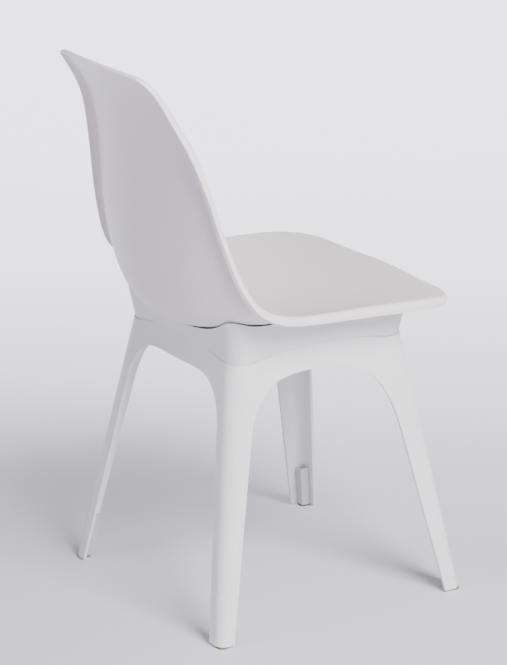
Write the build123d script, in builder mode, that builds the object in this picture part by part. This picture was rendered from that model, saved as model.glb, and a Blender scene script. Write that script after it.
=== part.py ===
from build123d import *
from math import cos, radians, sin
import os

os.makedirs("parts", exist_ok=True)

# ---------------------------------------------------------------------------
# Driving dimensions, mm.  X is the sitter's left, -Y is the front, +Z is up.
# The model is laid out about the middle of the four feet, and moved at the
# end so that the middle of its box on the floor is the origin.
# ---------------------------------------------------------------------------

# Seat shell: one moulded scoop
seat_half_width = 208
front_half_width = 203
seat_front = 224
front_height = 447
side_height = 465
hip_setback = 128
hip_height = 494
waist_half_width = 177
waist_height = 600
waist_setback = 171
top_half_width = 115
top_height = 812
top_setback = 266
shell_wall = 4.0
rim_crown_radius = 8.0
rim_hollow_radius = 4.0
seat_lip = 18.0
back_lip = 21.0
top_lip = 9.0
top_corner_radius = 28.0
top_rise = 14
draw_angle = 35

# Leg frame: one moulding, four angle-section legs joined by four arched aprons
foot_half = 210
ledge_half = 146.5
ledge_height = 389
frame_wall = 4.5
foot_corner_radius = 16
ledge_corner_radius = 26
front_foot_flange = 30
front_knee_flange = 43
front_knee_height = 235
front_shoulder_drop = 40
rear_foot_flange = 24
rear_knee_flange = 36
rear_knee_height = 290
rear_shoulder_drop = 18
side_arch_height = 366
arch_crown = 60
end_foot_flange = 29
end_knee_flange = 36
end_knee_height = 300
end_arch_height = 363
end_shoulder_drop = 10
seam_rise = 12
seam_half_length = 115
shelf_drop = 28
shelf_thickness = 5
shelf_reach = 52

# Seat carrier: the band between the leg frame and the shell
seam_gap = 0.5
band_inset = 2.0
band_flare = 0.17
band_headroom = 90
carrier_wall = 4.0
skirt_depth = 18
skirt_wall = 3.5
fit_clearance = 0.3
deck_rise = 17
deck_thickness = 5
shell_gap = 2.5
deck_window_radius = 42
rib_place = 50
rib_thickness = 3
rib_depth = 13

# Fixings
post_diameter = 18
post_inset = 26
boss_diameter = 24
boss_x = 78
boss_y = 72
insert_diameter = 9
insert_length = 12
screw_diameter = 6
screw_clearance = 0.6
screw_reach = 10
screw_head_diameter = 12
screw_head_height = 3.6
socket_radius = 2.3
socket_depth = 2
washer_diameter = 18
washer_thickness = 1.6

# Feet
pad_thickness = 3
pad_inset = 2.5
pad_size = 18
pad_corner_radius = 6
plug_height = 68
plug_clearance = 0.3
plug_depth = 15
plug_pocket_wall = 2.5
plug_floor = 8


# ---------------------------------------------------------------------------
# Seat shell
# ---------------------------------------------------------------------------

s = sin(radians(draw_angle))
c = cos(radians(draw_angle))
draw_plane = Plane(origin=(0, 0, 0), x_dir=(1, 0, 0), z_dir=(0, -s, c))


def along(y, z):
    """Distance up the draw plane, from the front lip towards the top of the back."""
    return c * y + s * z


def lift(y, z):
    """Distance out of the draw plane, the way the mould opens."""
    return -s * y + c * z


# The rim, from the front lip to the top of the back: setback, height,
# half width, how deep the scoop is there, and how deep the turned lip is.
rim = [
    (-seat_front - 30, front_height - 6, front_half_width, 0.8, seat_lip),
    (-seat_front + 24, front_height + 4, front_half_width, 5, seat_lip),
    (-seat_front + 87, front_height + 10, seat_half_width, 13, seat_lip),
    (-60, side_height - 3, seat_half_width, 25, seat_lip),
    (0, side_height, seat_half_width, 37, seat_lip),
    (60, side_height + 4, seat_half_width, 51, seat_lip),
    (hip_setback - 27, hip_height - 16, seat_half_width, 65, seat_lip),
    (hip_setback, hip_height, seat_half_width - 2, 74, seat_lip),
    (hip_setback + 17, hip_height + 26, seat_half_width - 11, 78, back_lip - 1),
    (waist_setback - 11.5, waist_height - 40, waist_half_width + 10, 73, back_lip),
    (waist_setback, waist_height, waist_half_width, 63, back_lip),
    (waist_setback + 9, waist_height + 40, waist_half_width - 9.5, 51, back_lip),
    (waist_setback + 19, waist_height + 80, waist_half_width - 21, 41, back_lip),
    (top_setback - 62, top_height - 92, top_half_width + 26.5, 30, back_lip - 2),
    (top_setback - 41, top_height - 52, top_half_width + 10.5, 18, back_lip - 6),
    (top_setback, top_height, top_half_width, 8, top_lip),
    (top_setback + 42, top_height + 57, top_half_width - 12, 5, top_lip),
]
block_half_width = seat_half_width + 20
outline_steps = 24


def scoop_block(top_drop, bottom_drop):
    """The curved slab between two lowered copies of the sitting surface."""
    with BuildPart() as block:
        for (y, z, half_width, dish, _), high, low in zip(rim, top_drop, bottom_drop):
            side = block_half_width + high
            middle = lift(y, z) - dish
            edge = middle + dish * (side / half_width) ** 2
            place = Vector(0, c, s) * along(y, z)
            with BuildSketch(Plane(origin=place, x_dir=(1, 0, 0), z_dir=(0, -c, -s))):
                with BuildLine():
                    Bezier((-side, edge - high), (0, 2 * middle - edge - high), (side, edge - high))
                    Line((side, edge - high), (side, edge - low))
                    Bezier((side, edge - low), (0, 2 * middle - edge - low), (-side, edge - low))
                    Line((-side, edge - low), (-side, edge - high))
                make_face()
        loft()
    return block.part


def rim_outline(inset):
    """The shell's outline seen along the draw direction."""
    front = along(-seat_front, front_height)
    corner = along(-seat_front + 24, front_height + 4)
    top = along(top_setback, top_height)
    with BuildSketch(draw_plane) as outline:
        with BuildLine():
            side = [(0, front)]
            side += [(front_half_width - 86, front + 8)]
            side += [(front_half_width - 26, front + 20)]
            side += [(front_half_width - 3, corner + 22)]
            side += [(half, along(y, z)) for y, z, half, _, _ in rim[2:16]]
            guide = Spline(side, tangents=[(1, 0), (-0.35, 1)], mode=Mode.PRIVATE)
            steps = [step / outline_steps for step in range(outline_steps + 1)]
            inner = [guide @ step + (guide % step).rotate(Axis.Z, 90) * inset for step in steps]
            edge = Spline(inner, tangents=[guide % 0, guide % 1])
            tip = edge @ 1
            ThreePointArc(tip, (0, top + top_rise - inset), (-tip.X, tip.Y))
            mirror(edge, about=Plane.YZ)
        make_face()
        fillet(outline.vertices().sort_by(Axis.Y)[-2:], top_corner_radius - inset)
    return outline.sketch


def crest(part):
    """The edges round the rim, where the sitting surface meets the outline's wall."""
    facing_up = part.faces().filter_by(lambda face: face.normal_at().Z > 0.5)
    return facing_up.sort_by(SortBy.AREA)[-1].edges()


wall_drop = shell_wall / c
gap_drop = shell_gap / c
prism_height = 700
carrier_reach = 300
level = [0] * len(rim)
underside = [wall_drop] * len(rim)
lip_bottom = [lip for _, _, _, _, lip in rim]
deep_under = [carrier_reach] * len(rim)
deck_top = ledge_height + deck_rise + deck_thickness

with BuildPart() as shell_hollow:
    add(scoop_block(underside, [lip + shell_wall for lip in lip_bottom]))
    extrude(rim_outline(shell_wall), amount=prism_height, mode=Mode.INTERSECT)
    fillet(crest(shell_hollow.part), rim_hollow_radius)

with BuildPart() as shell_bosses:
    with BuildSketch(Plane.XY.offset(deck_top)):
        with GridLocations(2 * boss_x, 2 * boss_y, 2, 2):
            Circle(boss_diameter / 2)
    extrude(amount=band_headroom)
    add(scoop_block([wall_drop / 2] * len(rim), deep_under), mode=Mode.INTERSECT)
    with Locations(Plane.XY.offset(deck_top)):
        with GridLocations(2 * boss_x, 2 * boss_y, 2, 2):
            Cylinder(
                insert_diameter / 2,
                insert_length,
                align=(Align.CENTER, Align.CENTER, Align.MIN),
                mode=Mode.SUBTRACT,
            )

with BuildPart() as seat_shell:
    add(scoop_block(level, lip_bottom))
    extrude(rim_outline(0), amount=prism_height, mode=Mode.INTERSECT)
    fillet(crest(seat_shell.part), rim_crown_radius)
    add(shell_hollow.part, mode=Mode.SUBTRACT)
    add(shell_bosses.part)


# ---------------------------------------------------------------------------
# Leg frame
# ---------------------------------------------------------------------------


def half_at(height, inset=0.0):
    """Half the width of the leg frame's outer face at one height."""
    return foot_half - (foot_half - ledge_half) * height / ledge_height - inset


def corner_at(height, inset=0.0):
    """Radius of the frame's upright corners at one height."""
    share = height / ledge_height
    return foot_corner_radius + (ledge_corner_radius - foot_corner_radius) * share - inset


def tapered_block(low, high, inset):
    """The splayed envelope of the four legs between two heights."""
    with BuildPart() as block:
        for height in (low, high):
            with BuildSketch(Plane.XY.offset(height)):
                side = 2 * half_at(height, inset)
                RectangleRounded(side, side, corner_at(height, inset))
        loft()
    return block.part


def seam_zone(raised_by):
    """Everything below the seam: level at the corners, arched along each apron."""
    with BuildPart() as zone:
        for plane in (Plane.YZ, Plane.XZ):
            with BuildSketch(plane):
                with BuildLine():
                    level = ledge_height + raised_by
                    left = (-seam_half_length, level)
                    right = (seam_half_length, level)
                    ThreePointArc(left, (0, level + seam_rise), right)
                    Polyline(right, (foot_half, level), (foot_half, 0), (-foot_half, 0), (-foot_half, level), left)
                make_face()
            extrude(amount=foot_half, both=True)
    return zone.part


def half_arch(plane, side, leg, arch_height):
    """Half of the opening between two legs, from one leg to the middle of the arch."""
    foot_flange, knee_flange, knee_height, shoulder_drop = leg
    with BuildSketch(plane) as opening:
        with BuildLine():
            foot = Vector(side * (half_at(0) - foot_flange), 0)
            knee = Vector(side * (half_at(knee_height) - knee_flange), knee_height)
            shoulder = Vector((knee.X + side * arch_crown) / 2, arch_height - shoulder_drop)
            leg_line = Line(foot, knee)
            Spline(knee, shoulder, (0, arch_height), tangents=[leg_line % 1, (-side, 0)])
            Line((0, arch_height), (0, 0))
            Line((0, 0), foot)
        make_face()
    return opening.sketch


shelf_top = ledge_height - shelf_drop
shelf_height = shelf_top - shelf_thickness
post_place = half_at(shelf_height, frame_wall) - post_inset
post_grid = 2 * post_place
front_leg = (front_foot_flange, front_knee_flange, front_knee_height, front_shoulder_drop)
rear_leg = (rear_foot_flange, rear_knee_flange, rear_knee_height, rear_shoulder_drop)
end_leg = (end_foot_flange, end_knee_flange, end_knee_height, end_shoulder_drop)

with BuildPart() as corner_shelves:
    add(tapered_block(shelf_height, shelf_top, frame_wall / 2))
    shelf_grid = 2 * half_at(shelf_height) - shelf_reach
    with GridLocations(shelf_grid, shelf_grid, 2, 2):
        Box(shelf_reach, shelf_reach, 2 * ledge_height, mode=Mode.INTERSECT)

with BuildPart() as leg_frame:
    add(tapered_block(pad_thickness, ledge_height + seam_rise, 0))
    add(seam_zone(0), mode=Mode.INTERSECT)
    add(tapered_block(0, ledge_height + 2 * seam_rise, frame_wall), mode=Mode.SUBTRACT)
    front_half_arch = half_arch(Plane.YZ, -1, front_leg, side_arch_height)
    rear_half_arch = half_arch(Plane.YZ, 1, rear_leg, side_arch_height)
    extrude(front_half_arch, amount=foot_half, both=True, mode=Mode.SUBTRACT)
    extrude(rear_half_arch, amount=foot_half, both=True, mode=Mode.SUBTRACT)
    for side in (-1, 1):
        end_half_arch = half_arch(Plane.XZ, side, end_leg, end_arch_height)
        extrude(end_half_arch, amount=foot_half, both=True, mode=Mode.SUBTRACT)
    add(corner_shelves.part)
    with Locations(Plane.XY.offset(shelf_top)):
        with GridLocations(post_grid, post_grid, 2, 2):
            Hole((screw_diameter + screw_clearance) / 2, depth=shelf_thickness)


# ---------------------------------------------------------------------------
# Seat carrier
# ---------------------------------------------------------------------------


def band_half_at(height):
    """Half the width of the carrier's band, which leans out towards the shell."""
    return ledge_half - band_inset + band_flare * (height - ledge_height)


seam_top = ledge_height + seam_rise + 1
band_top = ledge_height + band_headroom
skirt_inset = frame_wall + fit_clearance
core_inset = skirt_inset + skirt_wall
core_half = half_at(seam_top, core_inset)
core_corner = corner_at(seam_top, core_inset)
deck_height = ledge_height + deck_rise
deck_span = 2 * core_half + skirt_wall

with BuildPart() as carrier_core:
    add(tapered_block(shelf_height, seam_top, core_inset))
    with BuildSketch(Plane.XY.offset(seam_top)):
        RectangleRounded(2 * core_half, 2 * core_half, core_corner)
    with BuildSketch(Plane.XY.offset(band_top)):
        core_top_half = band_half_at(band_top) - carrier_wall
        RectangleRounded(2 * core_top_half, 2 * core_top_half, core_corner + core_top_half - core_half)
    loft()

with BuildPart() as carrier_fittings:
    with BuildSketch(Plane.XY.offset(deck_height)):
        Rectangle(deck_span, deck_span)
        Circle(deck_window_radius, mode=Mode.SUBTRACT)
    extrude(amount=deck_thickness)
    with BuildSketch(Plane.XY.offset(deck_height)):
        with GridLocations(2 * rib_place, 0, 2, 1):
            Rectangle(rib_thickness, deck_span)
        with GridLocations(0, 2 * rib_place, 1, 2):
            Rectangle(deck_span, rib_thickness)
        Circle(deck_window_radius + rib_thickness)
        Circle(deck_window_radius, mode=Mode.SUBTRACT)
    extrude(amount=-rib_depth)
    with BuildSketch(Plane.XY.offset(shelf_top)):
        with GridLocations(post_grid, post_grid, 2, 2):
            Circle(post_diameter / 2)
    extrude(amount=deck_height - shelf_top)

with BuildPart() as seat_carrier:
    with BuildSketch(Plane.XY.offset(ledge_height)):
        low_half = band_half_at(ledge_height)
        RectangleRounded(2 * low_half, 2 * low_half, ledge_corner_radius - band_inset)
    with BuildSketch(Plane.XY.offset(band_top)):
        high_half = band_half_at(band_top)
        RectangleRounded(2 * high_half, 2 * high_half, ledge_corner_radius)
    loft()
    add(scoop_block([wall_drop + gap_drop] * len(rim), deep_under), mode=Mode.INTERSECT)
    add(seam_zone(seam_gap), mode=Mode.SUBTRACT)
    add(tapered_block(ledge_height - skirt_depth, seam_top, skirt_inset))
    add(carrier_core.part, mode=Mode.SUBTRACT)
    add(carrier_fittings.part)
    with Locations(Plane.XY.offset(deck_top)):
        with GridLocations(2 * boss_x, 2 * boss_y, 2, 2):
            Hole((screw_diameter + screw_clearance) / 2, depth=deck_thickness)
    with Locations(Plane.XY.offset(shelf_top + insert_length)):
        with GridLocations(post_grid, post_grid, 2, 2):
            Hole(insert_diameter / 2, depth=insert_length)


# ---------------------------------------------------------------------------
# Fixings: a screw, its washer and the threaded insert it bites in
# ---------------------------------------------------------------------------


def threaded_insert(x, y, bottom):
    """A round brass insert with a plain bore, standing on one height."""
    with BuildPart() as insert:
        with BuildSketch(Plane.XY.offset(bottom)):
            with Locations((x, y)):
                Circle(insert_diameter / 2)
                Circle(screw_diameter / 2, mode=Mode.SUBTRACT)
        extrude(amount=insert_length)
    return insert


def washer(x, y, top):
    """A flat washer whose upper face lies at one height."""
    with BuildPart() as ring:
        with BuildSketch(Plane.XY.offset(top)):
            with Locations((x, y)):
                Circle(washer_diameter / 2)
                Circle((screw_diameter + screw_clearance) / 2, mode=Mode.SUBTRACT)
        extrude(amount=-washer_thickness)
    return ring


def button_screw(x, y, seat, tip):
    """A button-head socket screw, its head's bearing face at one height."""
    with BuildPart() as screw:
        with BuildSketch(Plane.XY.offset(seat)):
            with Locations((x, y)):
                Circle(screw_head_diameter / 2)
        extrude(amount=-screw_head_height)
        fillet(screw.edges().group_by(Axis.Z)[0], screw_head_height / 2)
        with BuildSketch(Plane.XY.offset(seat - screw_head_height)):
            with Locations((x, y)):
                RegularPolygon(socket_radius, 6)
        extrude(amount=socket_depth, mode=Mode.SUBTRACT)
        with BuildSketch(Plane.XY.offset(seat)):
            with Locations((x, y)):
                Circle(screw_diameter / 2)
        extrude(amount=tip - seat)
    return screw


# ---------------------------------------------------------------------------
# Feet
# ---------------------------------------------------------------------------

plug_inset = frame_wall + plug_clearance
pad_place = half_at(0) - pad_inset - pad_size / 2


def foot_plug(side_x, side_y):
    """A long plug that fills the open corner of one leg at its foot."""
    with BuildPart() as plug:
        for height in (pad_thickness, plug_height):
            place = half_at(height, plug_inset) - plug_depth / 2
            with BuildSketch(Plane.XY.offset(height)):
                with Locations((side_x * place, side_y * place)):
                    Rectangle(plug_depth, plug_depth)
        loft()
        add(tapered_block(pad_thickness, plug_height, plug_inset), mode=Mode.INTERSECT)
        for height in (pad_thickness + plug_floor, plug_height):
            place = half_at(height, plug_inset) - plug_depth / 2
            pocket = plug_depth - 2 * plug_pocket_wall
            with BuildSketch(Plane.XY.offset(height)):
                with Locations((side_x * place, side_y * place)):
                    RectangleRounded(pocket, pocket, plug_pocket_wall)
        loft(mode=Mode.SUBTRACT)
    return plug


def foot_pad(side_x, side_y):
    """The soft pad under one foot."""
    with BuildPart() as pad:
        with BuildSketch(Plane.XY):
            with Locations((side_x * pad_place, side_y * pad_place)):
                RectangleRounded(pad_size, pad_size, pad_corner_radius)
        extrude(amount=pad_thickness)
    return pad


# ---------------------------------------------------------------------------
# Assembly
# ---------------------------------------------------------------------------

pieces = {"seat_shell": seat_shell, "seat_carrier": seat_carrier, "leg_frame": leg_frame}
corners = {
    "front_left": (1, -1),
    "front_right": (-1, -1),
    "rear_left": (1, 1),
    "rear_right": (-1, 1),
}
for corner, (side_x, side_y) in corners.items():
    boss = (side_x * boss_x, side_y * boss_y)
    post = (side_x * post_place, side_y * post_place)
    shell_seat = deck_height - washer_thickness
    frame_seat = shelf_height - washer_thickness
    pieces["shell_insert_" + corner] = threaded_insert(*boss, deck_top)
    pieces["shell_washer_" + corner] = washer(*boss, deck_height)
    pieces["shell_screw_" + corner] = button_screw(*boss, shell_seat, deck_top + screw_reach)
    pieces["frame_insert_" + corner] = threaded_insert(*post, shelf_top)
    pieces["frame_washer_" + corner] = washer(*post, shelf_height)
    pieces["frame_screw_" + corner] = button_screw(*post, frame_seat, shelf_top + screw_reach)
    pieces["foot_plug_" + corner] = foot_plug(side_x, side_y)
    pieces["foot_pad_" + corner] = foot_pad(side_x, side_y)

boxes = [piece.part.bounding_box() for piece in pieces.values()]
front_face = min(box.min.Y for box in boxes)
back_face = max(box.max.Y for box in boxes)
to_origin = Location((0, -(front_face + back_face) / 2, 0))
print("front to back", back_face - front_face, "moved by", -(front_face + back_face) / 2)

for name, piece in pieces.items():
    piece.part.label = name
    piece.part.locate(to_origin)
    export_step(piece.part, "parts/" + name + ".step")
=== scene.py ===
# %% [markdown]
# # A white moulded side chair
# The chair is one scoop-shaped shell on a splayed base. This lesson takes the
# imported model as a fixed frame, lights it like a studio shot and gives each
# moulding, pad and fixing the finish it has on the real object. The pieces keep
# their frame shape, which is already the shape of the mould. Everything is in
# metres, with +Z up and the front towards -Y.

# %% Load the frame
import bpy
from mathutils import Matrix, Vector


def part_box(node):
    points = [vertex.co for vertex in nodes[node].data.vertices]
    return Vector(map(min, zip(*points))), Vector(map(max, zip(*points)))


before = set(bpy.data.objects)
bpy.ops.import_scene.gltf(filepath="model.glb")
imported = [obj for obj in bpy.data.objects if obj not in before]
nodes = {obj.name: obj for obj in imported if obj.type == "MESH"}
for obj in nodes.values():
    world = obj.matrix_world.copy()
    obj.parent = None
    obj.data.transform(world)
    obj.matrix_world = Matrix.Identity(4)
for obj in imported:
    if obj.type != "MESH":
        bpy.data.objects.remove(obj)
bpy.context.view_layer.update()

# %% [markdown]
# ## Camera
# The chair is seen from behind, over the sitter's right side, from a standing
# person's eye height. A long lens from four metres keeps the splayed legs from
# looking wider than they are. The place is given from the middle of the four
# feet, so it follows the model if the model's own origin moves.

# %% Camera
LENS = 162.7
SENSOR = 36.0
CAMERA_FROM_FEET = Vector((-3.4937, 2.2317, 1.7352))
LOOK = Vector((0.8029, -0.5080, -0.3118))

low, high = (Vector(corner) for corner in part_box("leg_frame"))
feet_middle = Vector(((low.x + high.x) / 2, (low.y + high.y) / 2, 0))
camera_data = bpy.data.cameras.new("camera")
camera_data.lens = LENS
camera_data.sensor_width = SENSOR
camera = bpy.data.objects.new("camera", camera_data)
bpy.context.scene.collection.objects.link(camera)
camera.location = feet_middle + CAMERA_FROM_FEET
camera.rotation_euler = LOOK.to_track_quat("-Z", "Y").to_euler()
bpy.context.scene.camera = camera
print("camera", [round(v, 3) for v in camera.location], "feet", [round(v, 4) for v in feet_middle])

# %% [markdown]
# ## Shader helper
# A material is a small program. Writing it as sums and products of sockets is
# easier to read than a list of nodes and links, so a thin class wraps a socket
# and turns each operator into a Math node. Any other node comes from `node`,
# which takes its type, its settings and the values or links of its sockets.


# %% Shader helper
OBJECT_OUTPUT = 3
NORMAL_OUTPUT = 1
DOT_OUTPUT = 1
HEIGHT_OUTPUT = 2
COLOUR_SHARE, FIRST_COLOUR, SECOND_COLOUR, COLOUR_OUTPUT = 0, 6, 7, 2


class Signal:
    """A socket of a material's node tree that can be used in sums and products."""

    def __init__(self, finish, socket):
        self.finish = finish
        self.socket = socket

    def join(self, operation, *values):
        return self.finish.node("ShaderNodeMath", {"operation": operation}, dict(enumerate(values)))

    def __add__(self, other):
        return self.join("ADD", self, other)

    def __radd__(self, other):
        return self.join("ADD", other, self)

    def __sub__(self, other):
        return self.join("SUBTRACT", self, other)

    def __rsub__(self, other):
        return self.join("SUBTRACT", other, self)

    def __mul__(self, other):
        return self.join("MULTIPLY", self, other)

    def __rmul__(self, other):
        return self.join("MULTIPLY", other, self)


class Finish:
    """A material with a Principled shader, built up node by node."""

    def __init__(self, name):
        self.material = bpy.data.materials.new(name)
        self.material.use_nodes = True
        self.tree = self.material.node_tree
        self.shader = self.tree.nodes["Principled BSDF"]

    def node(self, kind, settings=None, sockets=None, output=0):
        made = self.tree.nodes.new(kind)
        for key, value in (settings or {}).items():
            setattr(made, key, value)
        for key, value in (sockets or {}).items():
            self.feed(made.inputs[key], value)
        return Signal(self, made.outputs[output])

    def object_place(self):
        return self.node("ShaderNodeTexCoord", output=OBJECT_OUTPUT)

    def feed(self, socket, value):
        if isinstance(value, Signal):
            self.tree.links.new(value.socket, socket)
        else:
            socket.default_value = value

    def ramp(self, value, stops):
        made = self.node("ShaderNodeValToRGB", {}, {"Fac": value})
        ramp = made.socket.node.color_ramp
        for stop, (position, grey) in enumerate(stops):
            element = ramp.elements[stop] if stop < 2 else ramp.elements.new(position)
            element.position = position
            element.color = (grey, grey, grey, 1)
        return made

    def set(self, **sockets):
        for key, value in sockets.items():
            self.feed(self.shader.inputs[key.replace("_", " ")], value)


def mix_colour(finish, share, first, second):
    """Two colours mixed by a share from 0 to 1."""
    sockets = {COLOUR_SHARE: share, FIRST_COLOUR: first, SECOND_COLOUR: second}
    return finish.node("ShaderNodeMix", {"data_type": "RGBA"}, sockets, COLOUR_OUTPUT)


print("shader helper ready")

# %% [markdown]
# ## Floor
# The chair stands on a seamless studio sheet. A very large flat plane does the
# same job here, because the camera looks down on it and never reaches its edge.
# It gets a matt finish with a faint unevenness, as painted board has. The far
# part of the sheet is lit by lamps of its own, so it brightens with distance
# behind the chair; a glow that grows along one direction, painted light, stands in for them.


# %% Floor
AWAY = (0.845, -0.535, 0.0)
PAINTED_GLOW_REACH = 4.0
# Painted light on the far board: the reach, ramp, colour and strength of its glow.
PAINTED_GLOW_RAMP = (
    (0.02, 0.0),
    (0.10, 0.10),
    (0.20, 0.32),
    (0.30, 0.54),
    (0.40, 0.74),
    (0.62, 0.92),
    (0.98, 1.0),
)
PAINTED_GLOW_COLOUR = (0.89, 0.865, 1.0, 1)
PAINTED_GLOW_STRENGTH = 3.1
BLACK = (0, 0, 0, 1)
FLOOR_DARK = (0.70, 0.695, 0.785, 1)
FLOOR_LIGHT = (0.74, 0.735, 0.82, 1)
FLOOR_ROUGHNESS = 0.6
CLOUDS_PER_METRE = 0.9
FLOOR_SIZE = 60.0


def nothing_selected():
    """Leaves object mode with nothing selected, as every step should start."""
    if bpy.context.object and bpy.context.object.mode != "OBJECT":
        bpy.ops.object.mode_set(mode="OBJECT")
    bpy.ops.object.select_all(action="DESELECT")


def studio_board():
    """Pale matt board, a little cloudy, with a painted glow of light that grows away from the camera."""
    board = Finish("studio_board")
    place = board.object_place()
    cloud_sockets = {"Vector": place, "Scale": CLOUDS_PER_METRE, "Detail": 3.0}
    clouds = board.node("ShaderNodeTexNoise", {}, cloud_sockets)
    tone = mix_colour(board, clouds, FLOOR_DARK, FLOOR_LIGHT)
    settings = {"operation": "DOT_PRODUCT"}
    depth = board.node("ShaderNodeVectorMath", settings, {0: place, 1: AWAY}, DOT_OUTPUT)
    # Painted light: the board glows more with distance along AWAY, standing in for the far lamps.
    share = board.ramp(depth * (1 / PAINTED_GLOW_REACH), PAINTED_GLOW_RAMP)
    glow = mix_colour(board, share, BLACK, PAINTED_GLOW_COLOUR)
    board.set(Base_Color=tone, Roughness=FLOOR_ROUGHNESS)
    board.set(Emission_Color=glow, Emission_Strength=PAINTED_GLOW_STRENGTH)
    return board.material


nothing_selected()
bpy.ops.mesh.primitive_plane_add(size=FLOOR_SIZE, location=(0, 0, 0))
floor = bpy.context.object
floor.name = "studio_floor"
floor.data.materials.append(studio_board())
print("floor", FLOOR_SIZE, "m square")

# %% [markdown]
# ## Light
# A broad soft lamp stands at the sitter's right, about 45 degrees up, so the
# legs' shadows run to the sitter's left. A weaker one behind the chair throws
# the second, paler set of shadows forwards. The room's own glow fills the rest,
# which keeps a white chair from going grey in its own shade.

# %% Light
# Each lamp: place from the middle of the feet, diameter, watts, colour.
LAMPS = {
    "key": ((-2.7, -0.05, 2.65), 1.9, 275.0, (1.0, 0.985, 0.975)),
    "rear": ((0.1, 3.6, 2.3), 1.3, 20.0, (0.97, 0.98, 1.0)),
}
LAMP_AIM = Vector((0, 0, 0.4))
ROOM_COLOUR = (0.93, 0.93, 0.97, 1)
ROOM_STRENGTH = 0.43

for name, (place, size, power, colour) in LAMPS.items():
    lamp = bpy.data.lights.new(name, "AREA")
    lamp.shape = "DISK"
    lamp.size = size
    lamp.energy = power
    lamp.color = colour
    stand = bpy.data.objects.new(name, lamp)
    bpy.context.scene.collection.objects.link(stand)
    stand.location = feet_middle + Vector(place)
    aim = feet_middle + LAMP_AIM - stand.location
    stand.rotation_euler = aim.to_track_quat("-Z", "Y").to_euler()

world = bpy.data.worlds.new("room")
world.use_nodes = True
glow = world.node_tree.nodes["Background"]
glow.inputs["Color"].default_value = ROOM_COLOUR
glow.inputs["Strength"].default_value = ROOM_STRENGTH
bpy.context.scene.world = world
print("lamps", list(LAMPS), "room", ROOM_STRENGTH)

# %% [markdown]
# ## Finishes
# Moulded plastic looks flat only from far away. Close up it has the grain that
# was etched in the mould, paler and darker flow marks, a slightly rubbed and
# glossier edge, and a little dust where shoes and floors touch it. Each of
# those is a mask, made once in a helper and given to every finish at its own
# strength.


# %% Masks shared by the finishes
PLASTIC_EDGE = 0.0022
PLASTIC_IOR = 1.49
SPECK_COLOUR = (0.45, 0.43, 0.40, 1)
RUBBED_COLOUR = (0.93, 0.92, 0.90, 1)
SCUFF_COLOUR = (0.36, 0.34, 0.32, 1)


def edge_mask(finish, width):
    """1 on an edge and 0 on a flat face, from how a bevel would turn the normal."""
    facing = finish.node("ShaderNodeNewGeometry", output=NORMAL_OUTPUT)
    turned = finish.node("ShaderNodeBevel", {"samples": 6}, {"Radius": width})
    settings = {"operation": "DOT_PRODUCT"}
    same = finish.node("ShaderNodeVectorMath", settings, {0: facing, 1: turned}, DOT_OUTPUT)
    return finish.ramp(1 - same, ((0.02, 0.0), (0.25, 1.0)))


def noise(finish, place, scale, detail=2.0, roughness=0.5):
    return finish.node(
        "ShaderNodeTexNoise",
        {},
        {"Vector": place, "Scale": scale, "Detail": detail, "Roughness": roughness},
    )


def moulded_plastic(name, light, dark, rough, grain_size, grain_depth, scuff_top):
    """Satin moulded plastic with grain, flow marks, rubbed edges and scuffed feet."""
    plastic = Finish(name)
    place = plastic.object_place()
    height = plastic.node("ShaderNodeSeparateXYZ", {}, {0: place}, HEIGHT_OUTPUT)
    flow = plastic.ramp(noise(plastic, place, scale=5.0, detail=4.0), ((0.3, 0.0), (0.7, 1.0)))
    specks = plastic.ramp(noise(plastic, place, scale=420.0, detail=1.0), ((0.62, 0.0), (0.74, 1.0)))
    grain = noise(plastic, place, scale=1.0 / grain_size, roughness=0.6)
    edges = edge_mask(plastic, PLASTIC_EDGE)
    patches = plastic.ramp(noise(plastic, place, scale=38.0, detail=3.0), ((0.45, 0.0), (0.6, 1.0)))
    worn = edges * patches
    low = plastic.ramp(height * (1 / scuff_top), ((0.0, 1.0), (1.0, 0.0)))
    streaks = plastic.node("ShaderNodeMapping", {}, {"Vector": place, "Scale": (160.0, 160.0, 22.0)})
    scuffs = plastic.ramp(noise(plastic, streaks, scale=1.0, detail=3.0), ((0.52, 0.0), (0.66, 1.0))) * low
    tone = mix_colour(plastic, flow, dark, light)
    tone = mix_colour(plastic, specks * 0.05, tone, SPECK_COLOUR)
    tone = mix_colour(plastic, worn * 0.22, tone, RUBBED_COLOUR)
    tone = mix_colour(plastic, scuffs * 0.28, tone, SCUFF_COLOUR)
    relief = {"Strength": 0.5, "Distance": grain_depth, "Height": grain}
    bump = plastic.node("ShaderNodeBump", {}, relief)
    gloss = rough + (flow - 0.5) * 0.05 + (grain - 0.5) * 0.10 - worn * 0.10 + scuffs * 0.2
    plastic.set(Base_Color=tone, Roughness=gloss, Normal=bump, IOR=PLASTIC_IOR)
    return plastic.material


shell_plastic = moulded_plastic(
    "satin_shell_plastic",
    light=(0.85, 0.79, 0.82, 1),
    dark=(0.825, 0.766, 0.796, 1),
    rough=0.40,
    grain_size=0.0011,
    grain_depth=0.00012,
    scuff_top=0.02,
)
frame_plastic = moulded_plastic(
    "satin_frame_plastic",
    light=(0.82, 0.80, 0.825, 1),
    dark=(0.797, 0.778, 0.802, 1),
    rough=0.38,
    grain_size=0.0013,
    grain_depth=0.00012,
    scuff_top=0.07,
)
plug_plastic = moulded_plastic(
    "grey_plug_plastic",
    light=(0.56, 0.56, 0.57, 1),
    dark=(0.50, 0.50, 0.51, 1),
    rough=0.50,
    grain_size=0.0009,
    grain_depth=0.00015,
    scuff_top=0.05,
)
print("plastics", [m.name for m in (shell_plastic, frame_plastic, plug_plastic)])

# %% [markdown]
# The pads under the feet are soft amber rubber: matt, a little darker where
# dust has stuck, with a fine skin. The screws and washers are zinc plated steel
# with turning marks, and the inserts are plain turned brass.


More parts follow.
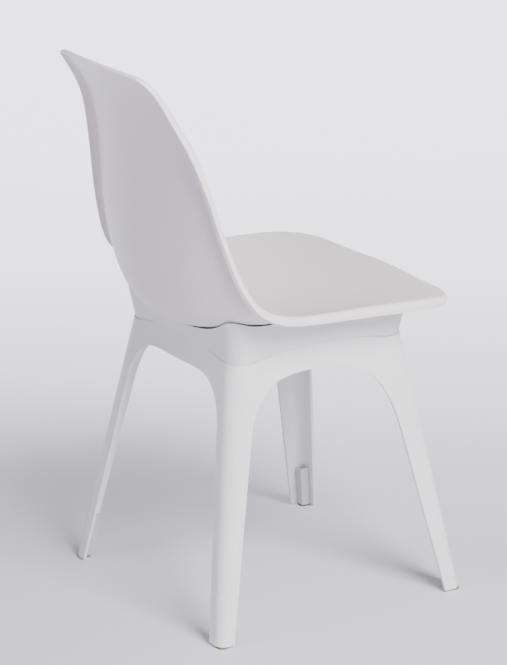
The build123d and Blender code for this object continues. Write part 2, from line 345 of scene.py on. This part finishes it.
# %% Rubber and metals
RUBBER_EDGE = 0.0008
RUBBER_DARK = (0.17, 0.095, 0.032, 1)
RUBBER_LIGHT = (0.24, 0.145, 0.055, 1)
RUBBER_WORN = (0.38, 0.30, 0.20, 1)
METAL_EDGE = 0.0005


def pad_rubber():
    """Matt amber rubber with dust at the floor."""
    rubber = Finish("amber_pad_rubber")
    place = rubber.object_place()
    blotches = rubber.ramp(noise(rubber, place, scale=90.0, detail=3.0), ((0.35, 0.0), (0.7, 1.0)))
    skin = noise(rubber, place, scale=1400.0, detail=1.0)
    edges = edge_mask(rubber, RUBBER_EDGE)
    tone = mix_colour(rubber, blotches, RUBBER_DARK, RUBBER_LIGHT)
    tone = mix_colour(rubber, edges * 0.35, tone, RUBBER_WORN)
    bump = rubber.node("ShaderNodeBump", {}, {"Strength": 0.4, "Distance": 0.0001, "Height": skin})
    rubber.set(Base_Color=tone, Roughness=0.72 + blotches * 0.12, Normal=bump)
    return rubber.material


def turned_metal(name, bright, dull, rough, ring_scale):
    """Metal with fine turning marks, dull patches and rubbed edges."""
    metal = Finish(name)
    place = metal.object_place()
    marks = metal.node("ShaderNodeMapping", {}, {"Vector": place, "Scale": (300.0, 300.0, ring_scale)})
    rings = noise(metal, marks, scale=1.0, detail=1.0)
    patches = metal.ramp(noise(metal, place, scale=160.0, detail=3.0), ((0.4, 0.0), (0.65, 1.0)))
    edges = edge_mask(metal, METAL_EDGE)
    tone = mix_colour(metal, patches, bright, dull)
    tone = mix_colour(metal, edges * 0.5, tone, bright)
    bump = metal.node("ShaderNodeBump", {}, {"Strength": 0.3, "Distance": 0.00004, "Height": rings})
    gloss = rough + patches * 0.15 - edges * 0.08
    metal.set(Base_Color=tone, Roughness=gloss, Normal=bump, Metallic=1.0)
    return metal.material


amber_rubber = pad_rubber()
zinc_steel = turned_metal(
    "zinc_plated_steel",
    bright=(0.66, 0.67, 0.69, 1),
    dull=(0.50, 0.51, 0.53, 1),
    rough=0.30,
    ring_scale=2500.0,
)
turned_brass = turned_metal(
    "turned_brass",
    bright=(0.80, 0.64, 0.34, 1),
    dull=(0.62, 0.46, 0.22, 1),
    rough=0.26,
    ring_scale=3000.0,
)
print("rubber and metals ready")

# %% [markdown]
# ## Finishes on the frame's own pieces
# The pieces that keep their frame shape only need their finish. Their names
# start with what they are, so a short table does it.

# %% Put the finishes on
FINISH_OF = {
    "seat_shell": shell_plastic,
    "seat_carrier": frame_plastic,
    "leg_frame": frame_plastic,
    "foot_plug": plug_plastic,
    "foot_pad": amber_rubber,
    "shell_insert": turned_brass,
    "frame_insert": turned_brass,
    "shell_washer": zinc_steel,
    "frame_washer": zinc_steel,
    "shell_screw": zinc_steel,
    "frame_screw": zinc_steel,
}


def finish_for(name):
    return next(finish for start, finish in FINISH_OF.items() if name.startswith(start))


for name, node in nodes.items():
    for holder in node.material_slots:
        holder.material = finish_for(name)
print("finished", len(nodes), "frame pieces")
